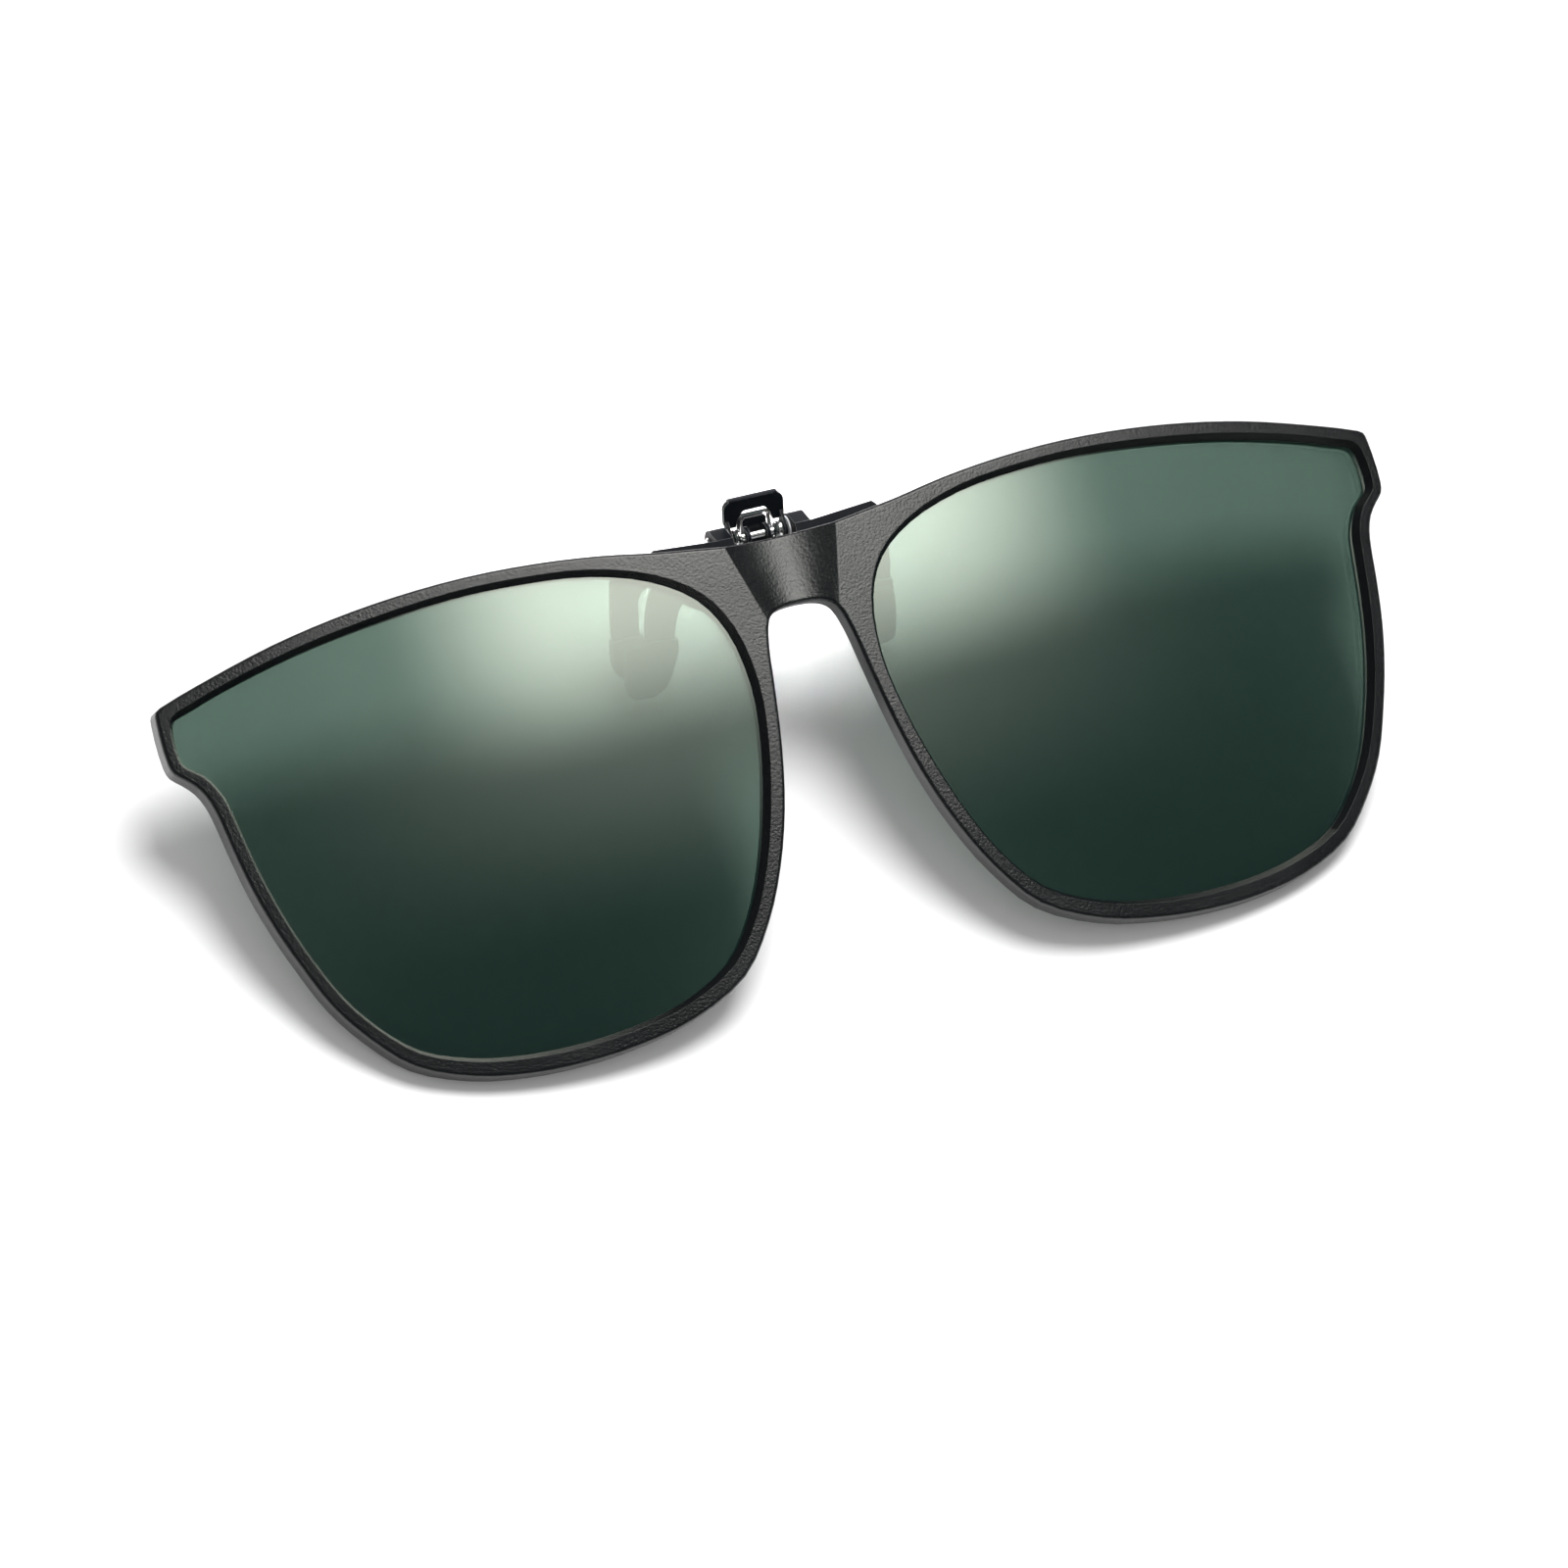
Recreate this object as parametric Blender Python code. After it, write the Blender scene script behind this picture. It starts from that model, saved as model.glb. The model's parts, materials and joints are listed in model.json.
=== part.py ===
"""Clip-on flip-up lenses: lens frame, flip hinge and sprung four-legged clip.

Drawing units are millimetres. X runs across the face, Y runs from front to back, Z is up.
The outlines are drawn about the middle of the bridge, then everything is moved so that the
origin is the centre of the flat top of the bridge. Clip pieces are drawn upright about the
hinge pin and turned with it.
"""
import math

import bmesh
import bpy
from mathutils import Matrix, Vector
from mathutils.geometry import delaunay_2d_cdt

MM = 0.001

# ---------------------------------------------------------------- driving dimensions
FACE_RADIUS = 400.0          # radius of the gently domed front surface
FACE_MID_Z = -24.0           # height of the dome's foremost point
FRAME_DEPTH = 2.8            # thickness of the rims
OUTER_ROUND = 0.40           # rounding of the rims' outer front edge
BACK_ROUND = 0.30            # rounding of the rims' outer back edge
BEVEL_IN = 0.57              # inward run of the lens opening's bevel
BEVEL_DEPTH = 1.15           # depth of that bevel
GROOVE_WIDTH = 1.23          # lens groove, front to back
LENS_THICK = 1.13
LENS_INSET = 0.12            # lens edge, inside the opening's front edge

BRIDGE_TOP_Z = 0.3           # flat top of the bridge
BRIDGE_HALF = 6.4            # half width of that flat, and of the scoop's top
SCOOP_FOOT = (3.9, -8.75)    # where the scoop's side meets the nose arch
SCOOP_DEPTH = 0.19           # depth of the scooped panel, as a share of its half width
SCOOP_POWER = 2.0            # how flat-bottomed the scoop is
ROUND_STEPS = 5              # facets round each rounded edge
SEAT_Y = 5.6                 # flat seat for the hinge bracket, behind the bridge
SEAT_HALF = 13.9
SEAT_LOW_Z = -4.2
SEAT_BLEND = 2.2

PIN_Y = 8.2                  # hinge pin's axis
PIN_Z = 2.0
PIN_RADIUS = 0.45
PIN_CLEAR = 0.05
TILT = math.radians(37.0)    # clip's tilt behind the lens frame at rest

STRIP_THICK = 0.7
STRIP_HALF = 13.3
STRIP_TOP_Z = 1.8            # strip's top beside the lugs
STRIP_END_Z = 2.35           # strip's top at its ends
STRIP_LOW_Z = -2.8
STRIP_DIP_Z = 0.5            # strip's top between the lugs
LUG_IN = 3.62
LUG_OUT = 5.5
LUG_RADIUS = 1.5
RIVET_X = 9.6
RIVET_Z = -0.8
RIVET_RADIUS = 0.55
RIVET_HEAD = 1.1

SHEET = 0.6                  # jaws' sheet thickness
FRONT_SHEET_Y = 0.55         # front face of the front jaw's sheet
REAR_SHEET_Y = 2.7           # front face of the rear jaw's sheet
FLAP_Y = 0.5                 # front face of the thumb flap
PAD_SKIN = 0.4               # pad material in front of and behind each leg
FIT = 0.05                   # clearance between a sleeve and its leg

WIRE_RADIUS = 0.21
COIL_RADIUS = 0.80           # to the middle of the wire
COIL_IN = 1.93               # where the coil starts
COIL_TURNS = 1.85
LOOP_HALF = 1.68             # half width of the spring's loop
LOOP_Y = 0.8
LOOP_Z = 2.2
SPRING_END_Z = -3.6

DATUM = Vector((0.0, 0.5 * (SEAT_Y + 1.0), BRIDGE_TOP_Z))

# Right half of the frame's outer edge, from the end of the bridge's flat top to the nose arch.
OUTER_HALF = [
    (BRIDGE_HALF, BRIDGE_TOP_Z), (10.0, 0.82), (14.0, 1.4), (20.0, 2.48), (27.0, 3.3),
    (35.0, 3.68), (43.0, 3.42), (50.0, 2.72), (57.0, 1.55), (64.0, -0.18), (69.4, -1.75),
    (70.75, -2.35), (71.0, -3.4), (71.05, -8.2), (70.7, -9.4), (69.7, -10.4), (68.6, -11.7),
    (67.9, -13.3), (67.5, -15.1), (66.95, -19.0), (66.1, -23.8), (64.9, -28.3), (63.4, -32.6),
    (61.2, -37.8), (58.3, -42.1), (54.4, -46.1), (48.5, -48.75), (42.4, -49.95),
    (36.6, -50.25), (30.6, -49.9), (23.9, -48.6), (17.2, -45.4), (13.2, -40.5),
    (10.3, -35.0), (8.1, -29.0), (6.5, -22.4), (5.35, -15.5), (4.75, -11.6),
    SCOOP_FOOT, (3.1, -8.0), (1.7, -7.55), (0.0, -7.45),
]

# Front edge of the right lens opening, anticlockwise from its nose side.
OPENING = [
    (7.1, -15.0), (7.9, -21.6), (9.6, -28.3), (11.7, -34.2), (14.4, -39.5), (18.2, -44.0),
    (24.5, -47.0), (30.8, -48.2), (36.6, -48.53), (42.2, -48.25), (47.9, -47.2),
    (53.5, -44.87), (57.2, -41.3), (60.0, -37.2), (62.2, -32.2), (63.65, -27.9),
    (64.75, -23.6), (65.55, -19.3), (66.1, -15.6), (66.5, -13.3), (67.0, -12.0),
    (67.9, -10.5), (69.3, -9.3), (69.9, -8.3), (69.85, -4.4), (69.3, -3.3), (66.6, -2.35),
    (62.5, -1.15), (54.5, 0.6), (46.2, 1.72), (37.0, 2.35), (29.5, 2.15), (21.5, 1.2),
    (14.9, -1.0), (10.4, -4.2), (8.0, -8.5),
]

# Right front leg, from the crossbar's middle, down the leg and back up. Heights are below the pin.
CROSSBAR_TOP = -1.7
CROSSBAR_LOW = -5.7
TONGUE_HALF = 1.4
TONGUE_TOP = 1.9
FRONT_LEG = [
    (TONGUE_HALF, CROSSBAR_TOP), (9.6, CROSSBAR_TOP), (11.3, -2.7), (12.4, -4.6),
    (13.1, -7.0), (13.3, -10.4), (13.3, -14.6), (12.9, -15.6), (12.1, -16.0),
    (11.3, -15.6), (10.75, -14.2), (10.05, -10.4), (9.35, -7.4), (8.5, -6.1), (7.2, CROSSBAR_LOW),
]
FRONT_PAD = [
    (9.65, -10.6), (15.55, -10.6), (15.8, -11.0), (15.8, -15.6), (15.5, -16.5),
    (14.7, -16.9), (12.7, -16.9), (11.5, -16.2), (10.75, -15.1), (10.2, -13.6),
]
GRIP_FACE = [(11.7, -15.25), (15.3, -15.25), (15.3, -15.8), (14.7, -16.5), (12.7, -16.5), (11.9, -15.9)]
GRIP_RISE = 0.2

REAR_TOP = -1.8
REAR_LOW = -4.8
REAR_LEG = [
    (14.4, REAR_TOP), (15.6, -2.3), (16.2, -3.6), (16.1, -13.4), (15.6, -14.3), (14.7, -14.6),
    (13.8, -14.3), (13.3, -13.4), (13.2, -6.3), (12.7, -5.2), (11.7, REAR_LOW),
]
REAR_PAD = [
    (12.85, -10.4), (16.5, -10.4), (16.55, -10.7), (16.45, -13.8), (16.0, -14.7), (15.2, -15.05),
    (14.1, -15.05), (13.3, -14.7), (12.9, -13.8), (12.8, -10.7),
]

FLAP_HALF = 3.5
FLAP_LOW = 1.08
FLAP_TOP = 4.35
FLAP_FOLD = 0.75             # depth of the flap's thickened top edge, front to back
FOLD_ROUND = 0.15            # rounding of the fold's front edge
FOLD_HALF = 2.85
FLAP_CORNER = 1.0
FLAP_FOOT_CORNER = 0.6
NOTCH_FOOT = 2.15
NOTCH_HEAD = 1.25
NOTCH_TOP = 2.85
CHEEK_IN = 3.0
CHEEK_OUT = 3.35
CHEEK_EYE = 0.85             # radius of the cheeks round the pin
TAB_IN = 0.95                # front jaw's tabs round the pin


# ---------------------------------------------------------------- curves
def spline(points, steps, closed=False):
    """Centripetal Catmull-Rom curve through the points."""
    pts = [Vector(p) for p in points]
    n = len(pts)
    if closed:
        get = lambda i: pts[i % n]
        spans = n
    else:
        first, last = 2 * pts[0] - pts[1], 2 * pts[-1] - pts[-2]
        get = lambda i: first if i < 0 else last if i >= n else pts[i]
        spans = n - 1
    out = []
    for i in range(spans):
        p0, p1, p2, p3 = get(i - 1), get(i), get(i + 1), get(i + 2)
        t0 = 0.0
        t1 = t0 + math.sqrt((p1 - p0).length)
        t2 = t1 + math.sqrt((p2 - p1).length)
        t3 = t2 + math.sqrt((p3 - p2).length)
        count = steps if (p2 - p1).length > 2.0 else max(1, steps - 1)
        for k in range(count):
            t = t1 + (t2 - t1) * k / count
            a1 = p0 * ((t1 - t) / (t1 - t0)) + p1 * ((t - t0) / (t1 - t0))
            a2 = p1 * ((t2 - t) / (t2 - t1)) + p2 * ((t - t1) / (t2 - t1))
            a3 = p2 * ((t3 - t) / (t3 - t2)) + p3 * ((t - t2) / (t3 - t2))
            b1 = a1 * ((t2 - t) / (t2 - t0)) + a2 * ((t - t0) / (t2 - t0))
            b2 = a2 * ((t3 - t) / (t3 - t1)) + a3 * ((t - t1) / (t3 - t1))
            out.append(b1 * ((t2 - t) / (t2 - t1)) + b2 * ((t - t1) / (t2 - t1)))
    if not closed:
        out.append(pts[-1].copy())
    return out


def area(loop):
    return 0.5 * sum(a.x * b.y - b.x * a.y for a, b in zip(loop, loop[1:] + loop[:1]))


def anticlockwise(loop):
    return loop if area(loop) > 0 else loop[::-1]


def offset(loop, distance):
    """Loop moved outwards by distance (inwards if negative). The loop runs anticlockwise."""
    out = []
    for i, p in enumerate(loop):
        before = (p - loop[i - 1]).normalized()
        after = (loop[(i + 1) % len(loop)] - p).normalized()
        tangent = (before + after).normalized()
        stretch = 1.0 / max(0.5, tangent.dot(after))
        out.append(p + Vector((tangent.y, -tangent.x)) * distance * stretch)
    return out


def filleted(corners, steps=4):
    """Outline with its corners rounded. Each corner is (x, z, radius)."""
    out = []
    n = len(corners)
    for i, (x, z, radius) in enumerate(corners):
        here = Vector((x, z))
        before = (Vector(corners[i - 1][:2]) - here).normalized()
        after = (Vector(corners[(i + 1) % n][:2]) - here).normalized()
        if radius <= 0:
            out.append(here)
            continue
        half_angle = 0.5 * math.acos(max(-1.0, min(1.0, before.dot(after))))
        centre = here + (before + after).normalized() * (radius / math.sin(half_angle))
        start = here + before * (radius / math.tan(half_angle)) - centre
        sweep_angle = math.pi - 2 * half_angle
        sign = 1.0 if before.x * after.y - before.y * after.x < 0 else -1.0
        for k in range(steps + 1):
            a = sign * sweep_angle * k / steps
            out.append(centre + Vector((start.x * math.cos(a) - start.y * math.sin(a),
                                        start.x * math.sin(a) + start.y * math.cos(a))))
    return out


def mirrored(loop):
    return [Vector((-p.x, p.y)) for p in loop][::-1]


def circle(cx, cy, radius, count):
    return [
        Vector((cx + radius * math.cos(2 * math.pi * k / count),
                cy + radius * math.sin(2 * math.pi * k / count)))
        for k in range(count)
    ]


def inside(p, loop):
    hit = False
    for a, b in zip(loop, loop[1:] + loop[:1]):
        if (a.y > p.y) != (b.y > p.y) and p.x < (b.x - a.x) * (p.y - a.y) / (b.y - a.y) + a.x:
            hit = not hit
    return hit


def clear_of(p, loops, gap):
    return all((p - q).length > gap for loop in loops for q in loop)


def triangulate(outer, holes, inner_points=(), creases=()):
    """Triangles of the region inside outer and outside the holes, over the loops' own points."""
    points, edges = [], []
    for loop in [outer] + list(holes):
        base = len(points)
        points += [Vector((p.x, p.y)) for p in loop]
        edges += [(base + i, base + (i + 1) % len(loop)) for i in range(len(loop))]
    points += [Vector((p[0], p[1])) for p in inner_points]
    edges += list(creases)
    verts, _, faces, _, _, _ = delaunay_2d_cdt(points, edges, [], 0, 1e-6)
    if len(verts) != len(points):
        raise ValueError("the outline's points merged or crossed")
    kept = []
    for face in faces:
        middle = sum((verts[i] for i in face), Vector((0.0, 0.0))) / len(face)
        if inside(middle, outer) and not any(inside(middle, h) for h in holes):
            kept.append(list(face))
    return verts, kept


# ---------------------------------------------------------------- meshes
def material(name, colour, metallic, roughness, alpha=1.0):
    mat = bpy.data.materials.new(name)
    mat.use_nodes = True
    shader = mat.node_tree.nodes["Principled BSDF"]
    shader.inputs["Base Color"].default_value = (*colour, 1.0)
    shader.inputs["Metallic"].default_value = metallic
    shader.inputs["Roughness"].default_value = roughness
    shader.inputs["Alpha"].default_value = alpha
    return mat


def finish(name, bm, mat, smooth_angle=None):
    """Object from a closed bmesh drawn in millimetres, normals outward."""
    bmesh.ops.remove_doubles(bm, verts=bm.verts, dist=1e-5)
    bmesh.ops.recalc_face_normals(bm, faces=bm.faces)
    bmesh.ops.scale(bm, vec=(MM, MM, MM), verts=bm.verts)
    mesh = bpy.data.meshes.new(name)
    bm.to_mesh(mesh)
    bm.free()
    obj = bpy.data.objects.new(name, mesh)
    bpy.context.collection.objects.link(obj)
    if mat:
        mesh.materials.append(mat)
    if smooth_angle is not None:
        mesh.shade_smooth()
        mesh.set_sharp_from_angle(angle=math.radians(smooth_angle))
    return obj


def prism(name, outline, low, high, mat=None, holes=(), axis="Y", bevel=0.0):
    """Sheet cut to an outline. Along Y the outline is (x, z), along X it is (y, z)."""
    outer = anticlockwise([Vector(p) for p in outline])
    holes = [anticlockwise([Vector(p) for p in h]) for h in holes]
    if axis == "Y":
        place = lambda p, d: (p.x, d, p.y)
    else:
        place = lambda p, d: (d, p.x, p.y)
    bm = bmesh.new()
    if bevel:
        levels = [(low, bevel), (low + 0.3 * bevel, 0.3 * bevel), (low + bevel, 0.0),
                  (high - bevel, 0.0), (high - 0.3 * bevel, 0.3 * bevel), (high, bevel)]
    else:
        levels = [(low, 0.0), (high, 0.0)]
    rings = [[bm.verts.new(place(p, d)) for p in offset(outer, -inset)] for d, inset in levels]
    hole_rings = [[[bm.verts.new(place(p, d)) for p in h] for d in (low, high)] for h in holes]
    for a, b in zip(rings, rings[1:]):
        join_rings(bm, a, b)
    for a, b in hole_rings:
        join_rings(bm, a, b)
    for end, ring in ((0, rings[0]), (1, rings[-1])):
        inset = levels[0][1]
        _, faces = triangulate(offset(outer, -inset), holes)
        verts = list(ring) + [v for h in hole_rings for v in h[end]]
        for face in faces:
            bm.faces.new([verts[i] for i in face])
    return finish(name, bm, mat)


def join_rings(bm, a, b):
    for i in range(len(a)):
        j = (i + 1) % len(a)
        bm.faces.new((a[i], a[j], b[j], b[i]))


def turned(name, profile, count, mat):
    """Solid turned about X. The profile lists (x, radius), and its ends are closed discs."""
    bm = bmesh.new()
    rings = []
    for x, radius in profile:
        rings.append([bm.verts.new((x, p.x, p.y)) for p in circle(0, 0, radius, count)])
    for a, b in zip(rings, rings[1:]):
        join_rings(bm, a, b)
    bm.faces.new(rings[0])
    bm.faces.new(rings[-1][::-1])
    return finish(name, bm, mat, smooth_angle=40)


def ring(name, inner, outer, x0, x1, count, mat):
    """Flat ring about X."""
    return prism(name, circle(0, 0, outer, count), x0, x1, mat,
                 holes=[circle(0, 0, inner, count)], axis="X")


def combine(target, others, operation="UNION"):
    """Boolean of the others into the target, applied, and the others removed."""
    for other in others:
        mod = target.modifiers.new("combine", "BOOLEAN")
        mod.operation = operation
        mod.solver = "EXACT"
        mod.object = other
        bpy.context.view_layer.update()
        graph = bpy.context.evaluated_depsgraph_get()
        mesh = bpy.data.meshes.new_from_object(target.evaluated_get(graph))
        target.modifiers.clear()
        old = target.data
        target.data = mesh
        bpy.data.meshes.remove(old)
        bpy.data.objects.remove(other, do_unlink=True)
    bm = bmesh.new()
    bm.from_mesh(target.data)
    bmesh.ops.remove_doubles(bm, verts=bm.verts, dist=1e-7)
    bmesh.ops.dissolve_degenerate(bm, edges=bm.edges, dist=1e-7)
    bm.to_mesh(target.data)
    bm.free()
    return target


def place_fixed(obj):
    obj.location = -DATUM * MM


def place_on_pin(obj, tilt=TILT):
    """Object drawn about the pin, put on the pin and turned with the clip."""
    obj.matrix_world = (
        Matrix.Translation((Vector((0.0, PIN_Y, PIN_Z)) - DATUM) * MM)
        @ Matrix.Rotation(tilt, 4, "X")
    )


# ---------------------------------------------------------------- lens frame
def dome(x, z):
    return (x * x + (z - FACE_MID_Z) ** 2) / (2 * FACE_RADIUS)


def scoop_half(z):
    """Half width of the scooped panel at a height."""
    share = (BRIDGE_TOP_Z - z) / (BRIDGE_TOP_Z - SCOOP_FOOT[1])
    share = min(1.0, max(0.0, share))
    return BRIDGE_HALF + share * (SCOOP_FOOT[0] - BRIDGE_HALF)


def scoop(x, z):
    half = scoop_half(z)
    share = min(1.0, abs(x) / half)
    return SCOOP_DEPTH * half * (1 - share ** SCOOP_POWER)


def smooth_step(t):
    t = min(1.0, max(0.0, t))
    return t * t * (3 - 2 * t)


def back_face(x, z):
    """Depth of the frame's back face, raised to the flat bracket seat behind the bridge."""
    plain = dome(x, z) + FRAME_DEPTH
    across = smooth_step((SEAT_HALF + SEAT_BLEND - abs(x)) / SEAT_BLEND)
    down = smooth_step((z - SEAT_LOW_Z + SEAT_BLEND) / SEAT_BLEND)
    return plain + (SEAT_Y - plain) * across * down


def frame_outline():
    half = spline(OUTER_HALF, 3)
    half = [p for i, p in enumerate(half) if i == 0 or (p - half[i - 1]).length > 0.05]
    top = [Vector((BRIDGE_HALF * (1 - 2 * k / 12.0), BRIDGE_TOP_Z)) for k in range(1, 12)]
    left = mirrored(half)[1:]
    return anticlockwise(half + left + top[::-1])


def opening_loop():
    return anticlockwise(spline(OPENING, 3, closed=True))


def grid_points(outer, holes, step, gap, x_half, z_low, z_high):
    points = []
    rows = int((z_high - z_low) / step)
    columns = int(2 * x_half / step)
    for i in range(columns + 1):
        for j in range(rows + 1):
            p = Vector((-x_half + i * step, z_low + j * step))
            if not inside(p, outer) or any(inside(p, h) for h in holes):
                continue
            if clear_of(p, [outer] + list(holes), gap):
                points.append(p)
    return points


def nearest(loop, x, z):
    return min(range(len(loop)), key=lambda i: (loop[i] - Vector((x, z))).length)


def rounding(radius, steps):
    """Inset and depth of each ring of a rounded edge, from the face to the wall."""
    angles = [0.5 * math.pi * k / steps for k in range(steps + 1)]
    return [(radius * (1 - math.sin(a)), radius * (1 - math.cos(a))) for a in angles]


def front_frame(mat):
    outline = frame_outline()
    right = opening_loop()
    openings = [right, anticlockwise(mirrored(right))]
    bm = bmesh.new()

    front = lambda p, d: (p.x, dome(p.x, p.y) + scoop(p.x, p.y) + d, p.y)
    plain = lambda p, d: (p.x, dome(p.x, p.y) + d, p.y)
    back = lambda p, d: (p.x, back_face(p.x, p.y) - d, p.y)

    outer_levels = [(i, front, d) for i, d in rounding(OUTER_ROUND, ROUND_STEPS)]
    outer_levels += [(i, back, d) for i, d in rounding(BACK_ROUND, 2)[::-1]]
    rings = []
    for inset, put, depth in outer_levels:
        rings.append([bm.verts.new(put(p, depth)) for p in offset(outline, -inset)])
    for a, b in zip(rings, rings[1:]):
        join_rings(bm, a, b)

    groove_back = BEVEL_DEPTH + GROOVE_WIDTH
    hole_levels = [
        (0.0, plain, 0.0), (BEVEL_IN, plain, BEVEL_DEPTH), (-0.03, plain, BEVEL_DEPTH),
        (-0.03, plain, groove_back), (BEVEL_IN, plain, groove_back), (0.45, back, 0.0),
    ]
    hole_rings = []
    for loop in openings:
        levels = []
        for inset, put, depth in hole_levels:
            levels.append([bm.verts.new(put(p, depth)) for p in offset(loop, -inset)])
        for a, b in zip(levels, levels[1:]):
            join_rings(bm, a, b)
        hole_rings.append(levels)

    # front face, creased along the scoop's sides
    edge = offset(outline, -OUTER_ROUND)
    tops = [nearest(edge, s * BRIDGE_HALF, BRIDGE_TOP_Z - OUTER_ROUND) for s in (1, -1)]
    feet = [nearest(edge, s * SCOOP_FOOT[0], SCOOP_FOOT[1]) for s in (1, -1)]
    across = [Vector((BRIDGE_HALF * (1 - 2 * k / 12.0), 0)) for k in range(1, 12)]
    count = sum(len(loop) for loop in [edge] + openings)
    extra, creases = [], []
    rows = 6
    for top, foot in zip(tops, feet):
        chain = [top]
        for k in range(1, rows):
            extra.append(edge[top].lerp(edge[foot], k / rows))
            chain.append(count + len(extra) - 1)
        chain.append(foot)
        creases += list(zip(chain, chain[1:]))
    for k in range(1, rows):
        z = edge[tops[0]].y + (edge[feet[0]].y - edge[tops[0]].y) * k / rows
        for p in across:
            q = Vector((p.x / BRIDGE_HALF * edge[tops[0]].lerp(edge[feet[0]], k / rows).x, z))
            if inside(q, edge) and clear_of(q, [edge], 0.45):
                extra.append(q)
    for p in grid_points(edge, openings, 2.2, 0.8, 15.4, -14.0, 2.0):
        if abs(p.x) > scoop_half(p.y) + 0.6 or p.y < SCOOP_FOOT[1]:
            extra.append(p)
    verts, faces = triangulate(edge, openings, extra, creases)
    ring_verts = list(rings[0]) + list(hole_rings[0][0]) + list(hole_rings[1][0])
    ring_verts += [bm.verts.new(front(p, 0.0)) for p in verts[count:]]
    for face in faces:
        bm.faces.new([ring_verts[i] for i in face])

    # back face, with the flat bracket seat
    edge = offset(outline, -BACK_ROUND)
    holes = [offset(loop, -0.45) for loop in openings]
    extra = grid_points(edge, holes, 1.6, 0.6, 16.8, -8.8, 2.0)
    count = sum(len(loop) for loop in [edge] + holes)
    verts, faces = triangulate(edge, holes, extra)
    ring_verts = list(rings[-1]) + list(hole_rings[0][-1]) + list(hole_rings[1][-1])
    ring_verts += [bm.verts.new(back(p, 0.0)) for p in verts[count:]]
    for face in faces:
        bm.faces.new([ring_verts[i] for i in face])
    obj = finish("front_frame", bm, mat, smooth_angle=35)

    cutters = []
    for side in (1, -1):
        bore = prism("bore", circle(side * RIVET_X, RIVET_Z, RIVET_RADIUS + PIN_CLEAR, 20),
                     SEAT_Y - 2.2, SEAT_Y + 1.0)
        cutters.append(bore)
    combine(obj, cutters, "DIFFERENCE")
    return obj


def lens(name, side, mat):
    loop = offset(opening_loop(), -LENS_INSET)
    if side < 0:
        loop = anticlockwise(mirrored(loop))
    bm = bmesh.new()
    put = lambda p, d: (p.x, dome(p.x, p.y) + d, p.y)
    near = BEVEL_DEPTH + 0.5 * (GROOVE_WIDTH - LENS_THICK)
    extra = []
    for i in range(9):
        for j in range(7):
            p = Vector((side * (3.0 + 8.0 * (i + 0.5)), 4.0 - 8.0 * (j + 0.5)))
            if inside(p, loop) and clear_of(p, [loop], 3.0):
                extra.append(p)
    verts, faces = triangulate(loop, [], extra)
    rings = [[bm.verts.new(put(p, d)) for p in loop] for d in (near, near + LENS_THICK)]
    join_rings(bm, *rings)
    for ring_verts, d in zip(rings, (near, near + LENS_THICK)):
        all_verts = ring_verts + [bm.verts.new(put(p, d)) for p in verts[len(loop):]]
        for face in faces:
            bm.faces.new([all_verts[i] for i in face])
    return finish(name, bm, mat, smooth_angle=35)


# ---------------------------------------------------------------- hinge
def hull_profile(points):
    """Convex hull of 2D points, anticlockwise."""
    pts = sorted({(round(p[0], 6), round(p[1], 6)) for p in points})

    def chain(seq):
        out = []
        for p in seq:
            while len(out) > 1:
                ax, ay = out[-1][0] - out[-2][0], out[-1][1] - out[-2][1]
                bx, by = p[0] - out[-2][0], p[1] - out[-2][1]
                if ax * by - ay * bx > 1e-9:
                    break
                out.pop()
            out.append(p)
        return out[:-1]

    return [Vector(p) for p in chain(pts) + chain(pts[::-1])]


def hinge_bracket(mat):
    """Riveted strip with two lugs, drawn about the bridge."""
    near = SEAT_Y + 0.03
    far = near + STRIP_THICK
    half = [
        (LUG_IN, STRIP_DIP_Z), (LUG_IN, STRIP_TOP_Z), (LUG_OUT, STRIP_TOP_Z),
        (STRIP_HALF - 0.5, STRIP_END_Z), (STRIP_HALF, STRIP_END_Z - 0.5), (STRIP_HALF, STRIP_LOW_Z + 1.0),
        (STRIP_HALF - 1.0, STRIP_LOW_Z),
    ]
    outline = [Vector(p) for p in half]
    outline += [Vector((-p.x, p.y)) for p in outline[::-1]]
    holes = [circle(s * RIVET_X, RIVET_Z, RIVET_RADIUS + PIN_CLEAR, 20) for s in (1, -1)]
    strip = prism("hinge_bracket", outline, near, far, mat, holes=holes)
    lugs = []
    for side in (1, -1):
        low, high = sorted((side * LUG_IN, side * LUG_OUT))
        points = [(near + 0.05, STRIP_TOP_Z), (near + 0.05, STRIP_LOW_Z + 1.2)]
        points += [tuple(p) for p in circle(PIN_Y, PIN_Z, LUG_RADIUS, 28)]
        bore = circle(PIN_Y, PIN_Z, PIN_RADIUS + PIN_CLEAR, 24)
        lugs.append(prism("lug", hull_profile(points), low, high, axis="X", holes=[bore]))
    return combine(strip, lugs)


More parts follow.
